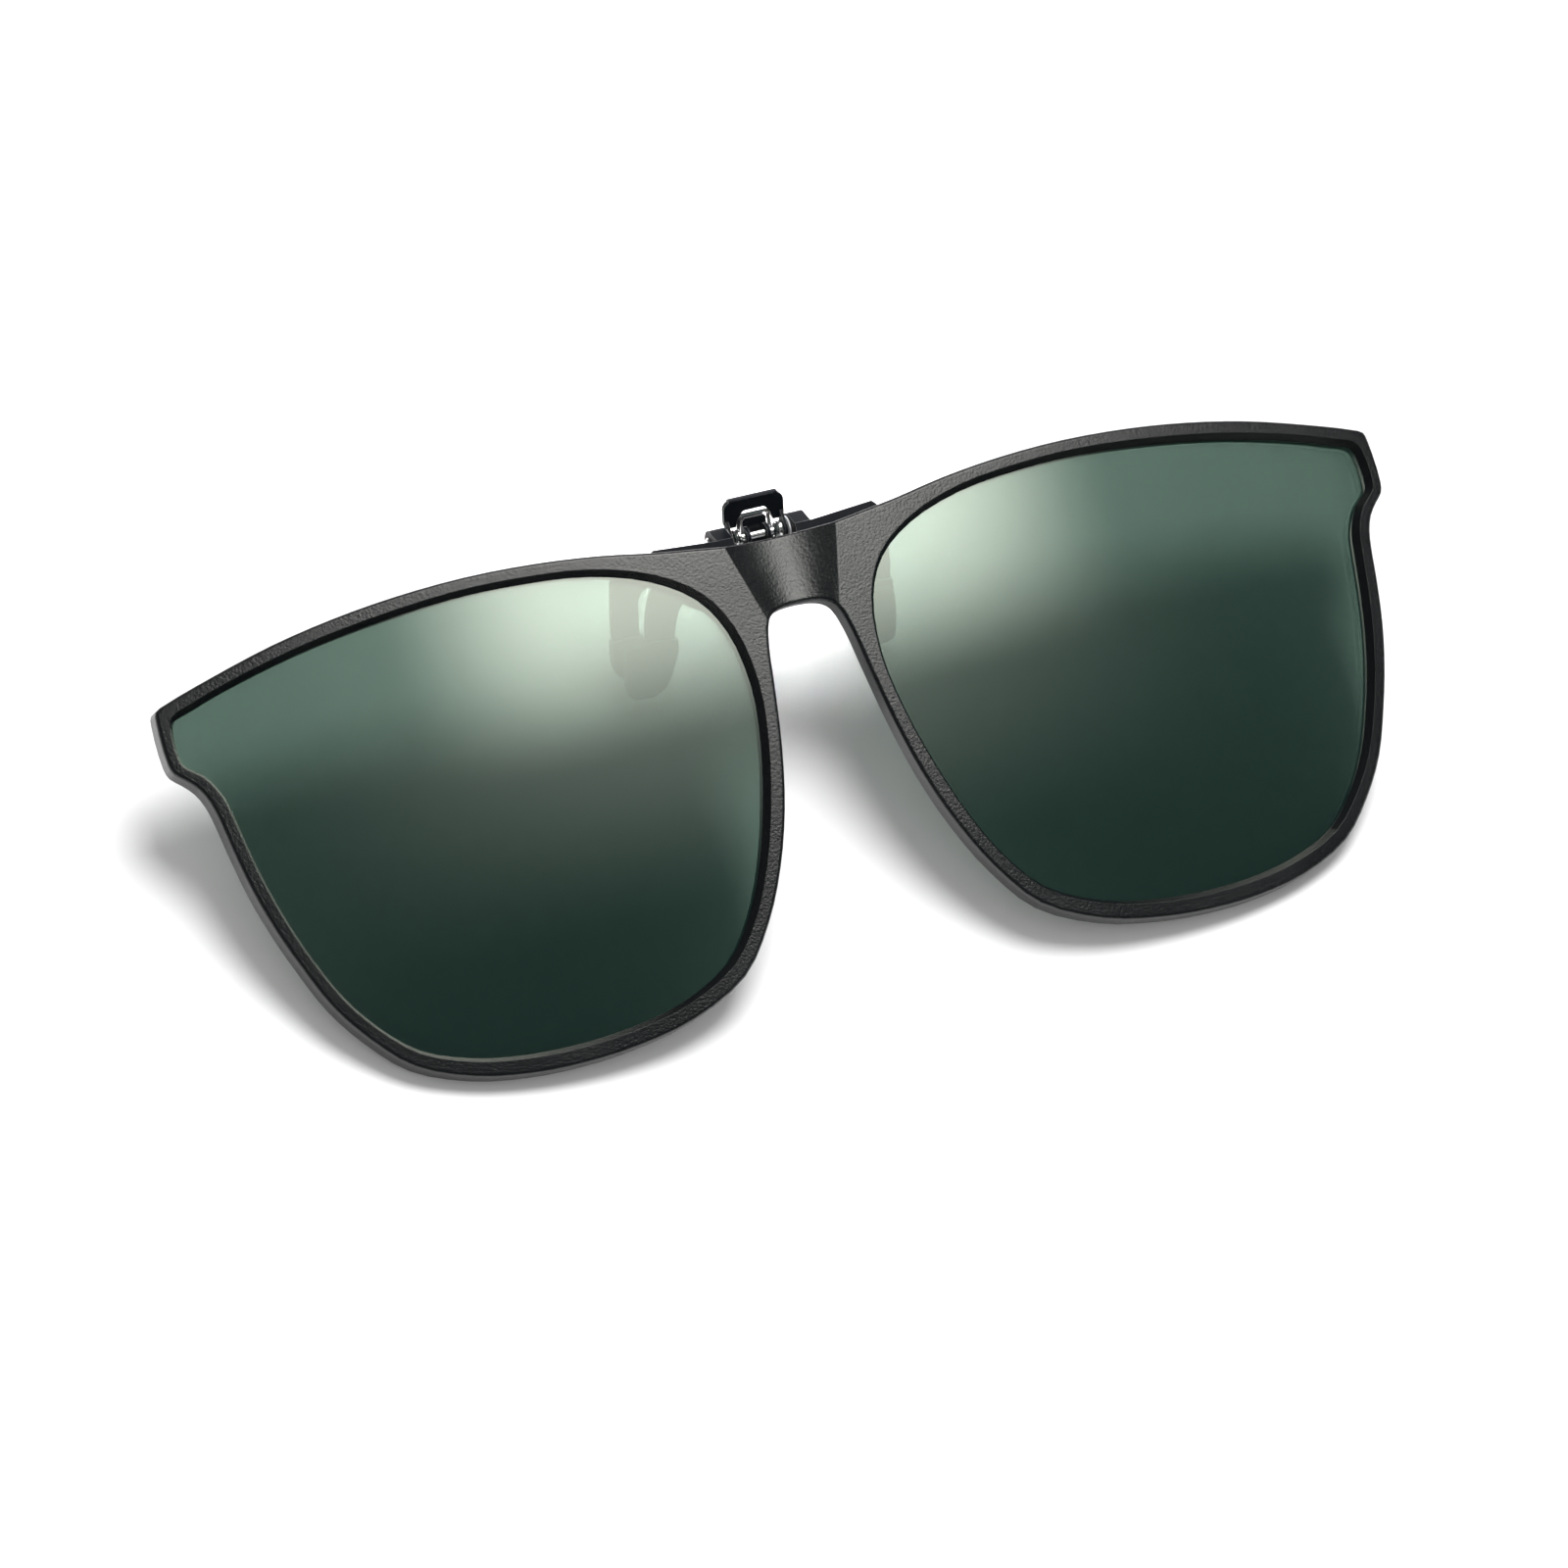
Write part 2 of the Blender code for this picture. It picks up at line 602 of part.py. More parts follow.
def bracket_rivet(name, side, mat):
    """Pan-headed rivet through the strip into the frame, turned about its own axis."""
    shank = SEAT_Y - 2.0
    face = SEAT_Y + 0.03 + STRIP_THICK + 0.02
    profile = [
        (shank, RIVET_RADIUS - 0.1), (shank + 0.1, RIVET_RADIUS), (face, RIVET_RADIUS),
        (face, RIVET_HEAD), (face + 0.22, RIVET_HEAD), (face + 0.4, 0.7 * RIVET_HEAD),
        (face + 0.46, 0.3 * RIVET_HEAD),
    ]
    obj = turned(name, profile, 24, mat)
    turn = Matrix.Rotation(math.radians(90), 4, "Z")
    obj.data.transform(turn)
    obj.matrix_world = Matrix.Translation(
        (Vector((side * RIVET_X, 0.0, RIVET_Z)) - DATUM) * MM
    )
    return obj


def hinge_pin(mat):
    """Pin with a domed head on the left and a plain riveted end on the right."""
    head = -(LUG_OUT + 0.02)
    tail = LUG_OUT + 0.5
    profile = [
        (head - 0.42, 0.35), (head - 0.32, 0.62), (head - 0.12, 0.8), (head, 0.8),
        (head, PIN_RADIUS), (tail - 0.12, PIN_RADIUS), (tail, 0.3),
    ]
    return turned("hinge_pin", profile, 24, mat)


def clamp_spring(mat):
    """Double torsion spring: a loop over the tongue, a coil each side, and two end legs."""
    pitch = 2 * WIRE_RADIUS + 0.02
    corner = 0.35
    half = [Vector((0.0, LOOP_Y, LOOP_Z)), Vector((LOOP_HALF - corner, LOOP_Y, LOOP_Z))]
    for k in range(1, 4):
        a = math.radians(30 * k)
        half.append(Vector((LOOP_HALF - corner + corner * math.sin(a), LOOP_Y,
                            LOOP_Z - corner + corner * math.cos(a))))
    half.append(Vector((0.3 * LOOP_HALF + 0.7 * COIL_IN, COIL_RADIUS, 0.35)))
    # the coil runs down behind the pin, forward beneath it, and leaves backwards over it
    steps = 20
    for k in range(int(steps * COIL_TURNS) + 1):
        angle = -2 * math.pi * k / steps
        half.append(Vector((COIL_IN + pitch * k / steps,
                            COIL_RADIUS * math.cos(angle), COIL_RADIUS * math.sin(angle))))
    out_x = half[-1].x
    behind = REAR_SHEET_Y + SHEET + WIRE_RADIUS + 0.05
    bend = Vector((out_x, behind, REAR_TOP + 0.35))
    leave = (half[-1] - bend).normalized()
    half += [bend + 0.4 * leave, bend + 0.15 * leave + Vector((0.0, 0.0, -0.1))]
    half += [bend + Vector((0.0, 0.0, -0.35)), Vector((out_x, behind, SPRING_END_Z))]
    path = [Vector((-p.x, p.y, p.z)) for p in half[:0:-1]] + half
    return sweep("clamp_spring", path, WIRE_RADIUS, 8, mat)


def sweep(name, path, radius, sides, mat):
    """Round wire along a path, with a frame carried along it without twist."""
    bm = bmesh.new()
    normal = None
    rings = []
    for i, p in enumerate(path):
        before = (p - path[i - 1]).normalized() if i else None
        after = (path[i + 1] - p).normalized() if i + 1 < len(path) else None
        tangent = ((before or after) + (after or before)).normalized()
        if normal is None:
            normal = tangent.cross(Vector((0.0, 0.3, 1.0)) if abs(tangent.z) < 0.9 else Vector((0, 1, 0)))
        normal = (normal - tangent * normal.dot(tangent)).normalized()
        other = tangent.cross(normal)
        ring_verts = []
        for k in range(sides):
            a = 2 * math.pi * k / sides
            ring_verts.append(bm.verts.new(p + radius * (normal * math.cos(a) + other * math.sin(a))))
        rings.append(ring_verts)
    for a, b in zip(rings, rings[1:]):
        join_rings(bm, a, b)
    bm.faces.new(rings[0])
    bm.faces.new(rings[-1][::-1])
    return finish(name, bm, mat, smooth_angle=60)


# ---------------------------------------------------------------- jaws
def both_sides(right):
    """Closed outline from its right half, which runs from the middle line back to it."""
    left = [(-x, z) for x, z in right[::-1]]
    return [Vector(p) for p in list(right) + left]


def eye(name, x0, x1, radius, tail):
    """Tab with the pin's hole, running from round the pin to the tail points (y, z)."""
    points = [tuple(p) for p in circle(0, 0, radius, 24)] + list(tail)
    bore = circle(0, 0, PIN_RADIUS + PIN_CLEAR, 24)
    low, high = sorted((x0, x1))
    return prism(name, hull_profile(points), low, high, axis="X", holes=[bore])


def front_jaw(mat):
    far = FRONT_SHEET_Y + SHEET
    leg = [tuple(p) for p in spline(FRONT_LEG[2:], 2)]
    right = [(TONGUE_HALF - 0.3, TONGUE_TOP), (TONGUE_HALF, TONGUE_TOP - 0.3),
             FRONT_LEG[0], FRONT_LEG[1]] + leg
    plate = prism("front_jaw", both_sides(right), FRONT_SHEET_Y, far, mat)
    tabs = []
    for side in (1, -1):
        tail = [(far - 0.1, 0.9), (far - 0.1, -0.9)]
        tabs.append(eye("tab", side * TAB_IN, side * (TONGUE_HALF - 0.01), 0.85, tail))
    return combine(plate, tabs)


def flap_outline():
    """Front view of the thumb flap below its fold, with the arched notch."""
    top = FLAP_TOP - 0.12
    right = [
        (NOTCH_FOOT, FLAP_LOW, 0.15), (FLAP_HALF, FLAP_LOW, FLAP_FOOT_CORNER),
        (FLAP_HALF, top, FLAP_CORNER),
    ]
    left = [(-x, z, r) for x, z, r in right[::-1]]
    notch = [
        (-NOTCH_FOOT + 0.25, NOTCH_TOP - 0.9, 0.5), (-NOTCH_HEAD, NOTCH_TOP, 0.45),
        (NOTCH_HEAD, NOTCH_TOP, 0.45), (NOTCH_FOOT - 0.25, NOTCH_TOP - 0.9, 0.5),
    ]
    return filleted(right + left + notch, 7)


def fold_profile():
    """Side view (y, z) of the flap's top edge, bent back and flat on top."""
    cy = FLAP_Y + FOLD_ROUND
    cz = FLAP_TOP - FOLD_ROUND
    bend = []
    for k in range(ROUND_STEPS + 1):
        a = 0.5 * math.pi * k / ROUND_STEPS
        bend.append((cy - FOLD_ROUND * math.cos(a), cz + FOLD_ROUND * math.sin(a)))
    tip = FLAP_Y + FLAP_FOLD
    low = FLAP_TOP - SHEET
    end = [(tip - 0.1, FLAP_TOP), (tip, FLAP_TOP - 0.1), (tip, low + 0.1), (tip - 0.1, low)]
    inner = FLAP_Y + SHEET - 0.1
    return bend + end + [(inner, low), (inner, low - 0.3), (FLAP_Y, low - 0.3)]


def rear_jaw(mat):
    far = REAR_SHEET_Y + SHEET
    leg = [tuple(p) for p in spline(REAR_LEG, 2)]
    plate = prism("rear_jaw", both_sides(leg), REAR_SHEET_Y, far, mat)
    flap_far = FLAP_Y + SHEET
    pieces = [prism("flap", flap_outline(), FLAP_Y, flap_far)]
    pieces.append(prism("fold", fold_profile(), -FOLD_HALF, FOLD_HALF, axis="X"))
    for side in (1, -1):
        tail = [(FLAP_Y + 0.02, FLAP_LOW + 0.9), (flap_far - 0.02, FLAP_LOW + 0.9)]
        pieces.append(eye("cheek", side * CHEEK_IN, side * CHEEK_OUT, CHEEK_EYE + 0.05, tail))
        tail = [(far - 0.1, REAR_TOP + 1.1), (far - 0.1, REAR_TOP - 0.4)]
        pieces.append(eye("cheek", side * (CHEEK_IN + 0.005), side * (CHEEK_OUT - 0.005), CHEEK_EYE, tail))
    return combine(plate, pieces)


def sleeve(name, side, outline, leg, sheet_y, mat, grip=None, skin=PAD_SKIN):
    """Soft sleeve moulded round the end of a leg, open at its top."""
    flip = lambda pts: [Vector((side * p[0], p[1])) for p in pts]
    shape = spline(outline, 2, closed=True)
    body = prism(name, flip(shape), sheet_y - skin, sheet_y + SHEET + skin, mat, bevel=0.22)
    if grip:
        top = sheet_y + SHEET + skin
        combine(body, [prism("grip", flip(grip), top - 0.1, top + GRIP_RISE)])
    pocket = offset(anticlockwise([Vector(p) for p in leg]), FIT)
    cutter = prism("pocket", flip(pocket), sheet_y - FIT, sheet_y + SHEET + FIT)
    return combine(body, [cutter], "DIFFERENCE")


def leg_pocket(leg, top):
    """The stretch of a leg's outline below a height, closed by a straight cut at that height."""
    out = []
    for a, b in zip(leg, leg[1:]):
        if a.y < top:
            out.append(a.copy())
        if (a.y < top) != (b.y < top):
            out.append(a.lerp(b, (top - a.y) / (b.y - a.y)))
    return out


# ---------------------------------------------------------------- assembly
def clear_scene():
    for obj in list(bpy.data.objects):
        bpy.data.objects.remove(obj, do_unlink=True)


def build():
    clear_scene()
    black = material("frame_black", (0.03, 0.032, 0.036), 0.2, 0.45)
    tint = material("lens_tint", (0.05, 0.09, 0.08), 0.0, 0.08, 0.55)
    gunmetal = material("jaw_gunmetal", (0.07, 0.075, 0.09), 0.8, 0.4)
    chrome = material("chrome", (0.8, 0.8, 0.8), 1.0, 0.12)
    nylon = material("washer_nylon", (0.6, 0.6, 0.58), 0.0, 0.5)
    rubber = material("pad_rubber", (0.35, 0.35, 0.36), 0.0, 0.6)

    for obj in (front_frame(black), lens("lens_right", 1, tint), lens("lens_left", -1, tint),
                hinge_bracket(gunmetal)):
        place_fixed(obj)
    bracket_rivet("bracket_rivet_right", 1, chrome)
    bracket_rivet("bracket_rivet_left", -1, chrome)
    place_on_pin(hinge_pin(chrome), 0.0)
    collar_x = LUG_OUT + 0.03
    place_on_pin(ring("pin_collar", PIN_RADIUS + 0.02, 0.8, collar_x, collar_x + 0.3, 24, chrome), 0.0)
    for name, side in (("hinge_washer_right", 1), ("hinge_washer_left", -1)):
        low, high = sorted((side * (CHEEK_OUT + 0.03), side * (LUG_IN - 0.03)))
        place_on_pin(ring(name, PIN_RADIUS + PIN_CLEAR, 1.25, low, high, 24, nylon), 0.0)

    front_leg = spline(FRONT_LEG[2:], 2)
    rear_leg = spline(REAR_LEG, 2)
    front_pocket = leg_pocket(front_leg, FRONT_PAD[0][1] + 0.4)
    rear_pocket = leg_pocket(rear_leg, REAR_PAD[0][1] + 0.4)
    moving = [front_jaw(gunmetal), rear_jaw(gunmetal), clamp_spring(chrome)]
    for side, label in ((1, "right"), (-1, "left")):
        moving.append(sleeve("front_pad_" + label, side, FRONT_PAD, front_pocket, FRONT_SHEET_Y,
                             rubber, grip=GRIP_FACE))
        moving.append(sleeve("rear_pad_" + label, side, REAR_PAD, rear_pocket, REAR_SHEET_Y, rubber))
    for obj in moving:
        place_on_pin(obj)


build()
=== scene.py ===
"""Looks, floor, light and camera for the clip-on flip lenses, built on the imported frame."""

import json
import math

import bmesh
import bpy
from mathutils import Matrix, Vector


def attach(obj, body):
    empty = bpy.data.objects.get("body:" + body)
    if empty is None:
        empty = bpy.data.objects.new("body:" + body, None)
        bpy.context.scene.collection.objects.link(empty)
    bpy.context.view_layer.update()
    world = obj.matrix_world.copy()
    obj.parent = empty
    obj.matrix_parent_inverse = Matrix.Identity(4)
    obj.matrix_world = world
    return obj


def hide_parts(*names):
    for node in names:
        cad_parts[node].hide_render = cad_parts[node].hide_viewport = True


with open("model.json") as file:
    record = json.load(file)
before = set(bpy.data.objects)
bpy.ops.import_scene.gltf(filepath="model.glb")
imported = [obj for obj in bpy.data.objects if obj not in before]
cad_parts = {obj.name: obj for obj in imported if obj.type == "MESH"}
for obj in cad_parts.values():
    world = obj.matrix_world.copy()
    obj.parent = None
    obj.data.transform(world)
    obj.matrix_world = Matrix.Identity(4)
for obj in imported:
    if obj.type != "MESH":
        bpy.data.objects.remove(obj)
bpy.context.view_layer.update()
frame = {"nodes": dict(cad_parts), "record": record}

MM = 0.001
RESTING_LEAN = 21.0          # degrees between the lens frame and the floor it lies on
FLOOR_SIZE = 3.0
FLOOR_GAP = 0.02 * MM        # keeps the floor clear of the lowest point
LENS_MIDDLE = Vector((0.0, 0.0, -20.0)) * MM

FACE_RADIUS = 400.0 * MM     # radius of the dome that the lenses and the frame's front follow
FACE_MID_Z = -24.3 * MM      # height of the dome's foremost point
LENS_CHAMFER = 0.18 * MM     # polished edge of each lens
RIM_ANGLE = 60.0             # degrees: a lens's faces meet its rim at more than this
FACING = 0.98                # cosine: a facet this square to the dome belongs to a lens's face
SMOOTH_ANGLE = 24.0          # degrees: edges that bend more stay crisp
CRISP_ANGLE = 8.0            # the same for the frame, whose scoop has shallow creases

# The camera, in degrees about the lens frame: round to the left, below square-on, and rolled.
CAMERA_AROUND = 18.6343
CAMERA_ABOVE = -7.2920
CAMERA_ROLL = -15.8644
CAMERA_DISTANCE = 1.2
CAMERA_LENS = 257.27
CAMERA_TARGET = Vector((-7.5837, -3.3, -26.6941)) * MM

WELD = 0.002 * MM            # corners of neighbouring facets closer than this are one

# The key light leans from the floor's normal towards the camera's right and up.
KEY_RIGHT = 0.13
KEY_UP = 0.56
KEY_DISTANCE = 0.9
KEY_SIZE = 0.54
KEY_POWER = 10.0
# A narrow beam along the key light brightens the floor, where the camera sees the floor through
# this point of the object.
POOL_THROUGH = Vector((-5.0, -3.0, 11.0)) * MM
POOL_DISTANCE = 0.5
POOL_SIZE = 0.01
POOL_POWER = 0.0165
POOL_SPREAD = 7.6            # degrees

# What shiny surfaces mirror, placed by the mirrored direction's X, Y and Z.
AHEAD = (-0.35, -0.7)        # Y, where the front half starts and is full
SOFTBOX_MIDDLE = 0.295       # X
SOFTBOX_SIDES = (0.23, 0.11)  # X from the middle, where it starts and is full
SOFTBOX_FOOT = (0.15, 0.255)  # Z, the same
SOFTBOX_LIGHT = (6.7, 6.7, 6.4)
GLOW_LEFT = (-0.35, -0.05)
GLOW_RIGHT = (0.30, 0.0)
GLOW_FOOT = (0.05, 0.20)
GLOW_LIGHT = (1.2, 1.25, 1.2)
DARK_LIGHT = (0.05, 0.075, 0.065)
BEHIND_LIGHT = (0.10, 0.10, 0.105)
CEILING_LIGHT = (0.25, 0.25, 0.25)
CEILING_EDGE = (0.75, 0.95)  # Z
TENT_LIGHT = (0.58, 0.58, 0.58)


# ---------------------------------------------------------------- node helpers
class Graph:
    """A node tree with short calls for adding and wiring nodes."""

    def __init__(self, tree):
        self.tree = tree
        tree.nodes.clear()

    def add(self, kind, inputs=None, **settings):
        node = self.tree.nodes.new("ShaderNode" + kind)
        for key, value in settings.items():
            setattr(node, key, value)
        for key, value in (inputs or {}).items():
            self.put(node.inputs[key], value)
        return node

    def put(self, socket, value):
        """Wire a socket to another one, or set its own value or colour."""
        if isinstance(value, bpy.types.NodeSocket):
            self.tree.links.new(value, socket)
        elif isinstance(value, tuple) and len(value) == 3 and len(socket.default_value) == 4:
            socket.default_value = (*value, 1.0)
        else:
            socket.default_value = value

    def math(self, operation, a, b=0.0):
        return self.add("Math", {0: a, 1: b}, operation=operation).outputs[0]

    def noise(self, scale, detail, roughness, vector):
        inputs = {"Scale": scale, "Detail": detail, "Roughness": roughness, "Vector": vector}
        return self.add("TexNoise", inputs).outputs["Fac"]

    def ramp(self, value, low, high, out_low=0.0, out_high=1.0):
        """Smooth step from out_low to out_high while value goes from low to high."""
        node = self.add("MapRange", {0: value, 1: low, 2: high, 3: out_low, 4: out_high})
        node.interpolation_type = "SMOOTHSTEP"
        return node.outputs[0]

    def mix(self, share, a, b):
        node = self.add("Mix", data_type="RGBA")
        self.put(node.inputs[0], share)
        self.put(node.inputs[6], a)
        self.put(node.inputs[7], b)
        return node.outputs[2]

    def place(self):
        """Object coordinates, in metres."""
        return self.add("TexCoord").outputs["Object"]


def new_material(name):
    mat = bpy.data.materials.new(name)
    mat.use_nodes = True
    return mat, Graph(mat.node_tree)


def principled(graph, **values):
    """Principled surface; each named value is a socket, with _ for the spaces in its name."""
    shader = graph.add("BsdfPrincipled", {key.replace("_", " "): v for key, v in values.items()})
    output = graph.add("OutputMaterial")
    graph.put(output.inputs["Surface"], shader.outputs[0])


def bump(graph, height, strength, distance, normal=None):
    node = graph.add("Bump", {"Height": height, "Strength": strength, "Distance": distance})
    if normal is not None:
        graph.put(node.inputs["Normal"], normal)
    return node.outputs[0]


# ---------------------------------------------------------------- materials
def frame_plastic():
    """Satin black moulded plastic: fine spark-eroded grain, scattered scuffs and soft edges."""
    mat, g = new_material("frame_satin_black")
    place = g.place()
    grain = g.noise(3600.0, 2.0, 0.6, place)
    cloud = g.noise(90.0, 3.0, 0.5, place)
    wear = g.ramp(g.noise(700.0, 4.0, 0.6, place), 0.62, 0.75)
    edge = g.add("Bevel", {"Radius": 0.12 * MM}, samples=4).outputs[0]
    colour = g.mix(cloud, (0.003, 0.003, 0.004), (0.006, 0.006, 0.007))
    colour = g.mix(g.math("MULTIPLY", wear, 0.2), colour, (0.02, 0.02, 0.022))
    rough = g.ramp(cloud, 0.3, 0.7, 0.22, 0.27)
    principled(g, Base_Color=colour, Roughness=rough, IOR=1.6,
               Normal=bump(g, grain, 0.7, 0.05 * MM, edge))
    return mat


def tinted_lens():
    """Grey-green tint: light passes through and is dimmed at each face, a trace of it scatters
    and the rest mirrors."""
    mat, g = new_material("lens_grey_green")
    cloud = g.noise(60.0, 2.0, 0.5, g.place())
    colour = g.mix(cloud, (0.286, 0.356, 0.320), (0.294, 0.366, 0.329))
    tint = g.add("BsdfTransparent", {"Color": colour})
    body = g.add("BsdfDiffuse", {"Color": (0.0035, 0.0095, 0.009)})
    through = g.add("AddShader", {0: tint.outputs[0], 1: body.outputs[0]})
    haze = g.ramp(cloud, 0.3, 0.7, 0.015, 0.03)
    shine = g.add("BsdfGlossy", {"Color": (0.925, 0.965, 0.875), "Roughness": haze})
    fresnel = g.add("Fresnel", {"IOR": 1.8}).outputs[0]
    mixed = g.add("MixShader")
    g.put(mixed.inputs[0], fresnel)
    g.put(mixed.inputs[1], through.outputs[0])
    g.put(mixed.inputs[2], shine.outputs[0])
    output = g.add("OutputMaterial")
    g.put(output.inputs["Surface"], mixed.outputs[0])
    return mat


def lens_edge():
    """Ground and polished rim of the lens, paler than its faces."""
    mat, g = new_material("lens_edge")
    cloud = g.noise(800.0, 3.0, 0.5, g.place())
    principled(g, Base_Color=g.mix(cloud, (0.50, 0.54, 0.52), (0.62, 0.66, 0.64)), Roughness=0.15,
               IOR=1.8, Normal=bump(g, cloud, 0.1, 0.01 * MM))
    return mat


def coated_steel():
    """Dark blue-grey electroplated sheet steel with faint rolling lines; its edges are painted
    paler, partly as worn plating and partly as a painted edge highlight.
    """
    mat, g = new_material("coated_steel")
    place = g.place()
    stretch = g.add("Mapping", {"Vector": place, "Scale": (0.15, 1.0, 1.0)}).outputs[0]
    lines = g.noise(5000.0, 3.0, 0.6, stretch)
    cloud = g.noise(400.0, 3.0, 0.5, place)
    edge = g.add("Bevel", {"Radius": 0.07 * MM}, samples=6).outputs[0]
    face = g.add("NewGeometry").outputs["Normal"]
    bend = g.add("VectorMath", {0: edge, 1: face}, operation="DOT_PRODUCT").outputs["Value"]
    # Pale, half-metallic edges: partly worn plating, partly a painted highlight where light would
    # catch the edges.
    worn_and_highlit_edge = g.math("MULTIPLY", g.ramp(bend, 0.95, 0.78), g.ramp(cloud, 0.25, 0.6, 0.25, 0.8))
    colour = g.mix(cloud, (0.0032, 0.004, 0.0056), (0.004, 0.005, 0.007))
    colour = g.mix(worn_and_highlit_edge, colour, (0.62, 0.62, 0.64))
    principled(g, Base_Color=colour, Metallic=g.math("MULTIPLY", worn_and_highlit_edge, 0.6),
               Roughness=g.ramp(cloud, 0.3, 0.7, 0.36, 0.46), Specular_IOR_Level=0.12,
               Normal=bump(g, lines, 0.15, 0.01 * MM, edge))
    return mat


def bright_chrome():
    """Bright nickel-chrome plating with fine scratches."""
    mat, g = new_material("bright_chrome")
    place = g.place()
    scratch = g.noise(8000.0, 4.0, 0.7, place)
    cloud = g.noise(900.0, 2.0, 0.5, place)
    principled(g, Base_Color=(0.78, 0.78, 0.79), Metallic=1.0,
               Roughness=g.ramp(cloud, 0.3, 0.7, 0.10, 0.20),
               Normal=bump(g, scratch, 0.08, 0.005 * MM))
    return mat


def washer_nylon():
    """Off-white nylon with a dull moulded skin."""
    mat, g = new_material("washer_nylon")
    cloud = g.noise(1500.0, 3.0, 0.5, g.place())
    principled(g, Base_Color=g.mix(cloud, (0.30, 0.30, 0.29), (0.42, 0.42, 0.41)), Roughness=0.5,
               Subsurface_Weight=0.1, Normal=bump(g, cloud, 0.1, 0.01 * MM))
    return mat


def pad_silicone():
    """Milky grey silicone sleeve with a matt moulded skin."""
    mat, g = new_material("pad_silicone")
    place = g.place()
    skin = g.noise(4000.0, 3.0, 0.6, place)
    cloud = g.noise(350.0, 2.0, 0.5, place)
    edge = g.add("Bevel", {"Radius": 0.2 * MM}, samples=4).outputs[0]
    principled(g, Base_Color=g.mix(cloud, (0.17, 0.17, 0.175), (0.22, 0.22, 0.225)),
               Roughness=g.ramp(cloud, 0.3, 0.7, 0.45, 0.60), IOR=1.41,
               Subsurface_Weight=0.25, Subsurface_Scale=0.001,
               Normal=bump(g, skin, 0.2, 0.015 * MM, edge))
    return mat


def floor_white():
    """White paper sweep, see-through from behind so that it never hides the object."""
    mat, g = new_material("floor_white")
    fibre = g.noise(300.0, 4.0, 0.6, g.place())
    white = g.mix(fibre, (0.86, 0.86, 0.86), (0.88, 0.88, 0.88))
    inputs = {"Base Color": white, "Roughness": 0.85, "Specular IOR Level": 0.1}
    shader = g.add("BsdfPrincipled", inputs)
    clear = g.add("BsdfTransparent")
    mixed = g.add("MixShader")
    g.put(mixed.inputs[0], g.add("NewGeometry").outputs["Backfacing"])
    g.put(mixed.inputs[1], shader.outputs[0])
    g.put(mixed.inputs[2], clear.outputs[0])
    output = g.add("OutputMaterial")
    g.put(output.inputs["Surface"], mixed.outputs[0])
    return mat


def smooth_group(angle):
    """Node group that joins a faceted mesh and smooths it, leaving edges sharper than angle."""
    group = bpy.data.node_groups.new("smooth_by_angle", "GeometryNodeTree")
    for way in ("INPUT", "OUTPUT"):
        group.interface.new_socket("Geometry", in_out=way, socket_type="NodeSocketGeometry")

    add = group.nodes.new
    first = add("NodeGroupInput")
    plain = add("GeometryNodeRemoveAttribute")
    plain.inputs["Name"].default_value = "custom_normal"
    weld = add("GeometryNodeMergeByDistance")
    weld.inputs["Distance"].default_value = WELD
    faces = add("GeometryNodeSetShadeSmooth")
    edges = add("GeometryNodeSetShadeSmooth")
    edges.domain = "EDGE"
    bend = add("GeometryNodeInputMeshEdgeAngle")
    below = add("FunctionNodeCompare")
    below.operation = "LESS_THAN"
    below.inputs[1].default_value = math.radians(angle)
    last = add("NodeGroupOutput")
    link = group.links.new
    link(first.outputs[0], plain.inputs["Geometry"])
    link(plain.outputs[0], weld.inputs["Geometry"])
    link(weld.outputs[0], faces.inputs["Geometry"])
    link(faces.outputs[0], edges.inputs["Geometry"])
    link(bend.outputs[0], below.inputs[0])
    link(below.outputs[0], edges.inputs["Shade Smooth"])
    link(edges.outputs[0], last.inputs[0])
    return group


def dress(nodes):
    """Better materials in the CAD nodes' own slots, and smooth shading over their facets."""
    looks = {
        "frame_black": frame_plastic(),
        "lens_tint": tinted_lens(),
        "jaw_gunmetal": coated_steel(),
        "chrome": bright_chrome(),
        "washer_nylon": washer_nylon(),
        "pad_rubber": pad_silicone(),
    }
    smooth = smooth_group(SMOOTH_ANGLE)
    crisp = smooth_group(CRISP_ANGLE)
    for entry in frame["record"]["subparts"]:
        obj = nodes[entry["node"]]
        if not obj.material_slots:
            obj.data.materials.append(None)
        for slot in obj.material_slots:
            slot.material = looks[entry["material_slot"]]
        joined = obj.modifiers.new("smooth", "NODES")
        joined.node_group = crisp if entry["node"] == "front_frame" else smooth
        even = obj.modifiers.new("even", "WEIGHTED_NORMAL")
        even.keep_sharp = True
    return looks


def dome_normal(point):
    """Forward normal of the dome, which bulges towards -Y, at a point."""
    return Vector((point.x / FACE_RADIUS, -1.0, (point.z - FACE_MID_Z) / FACE_RADIUS)).normalized()


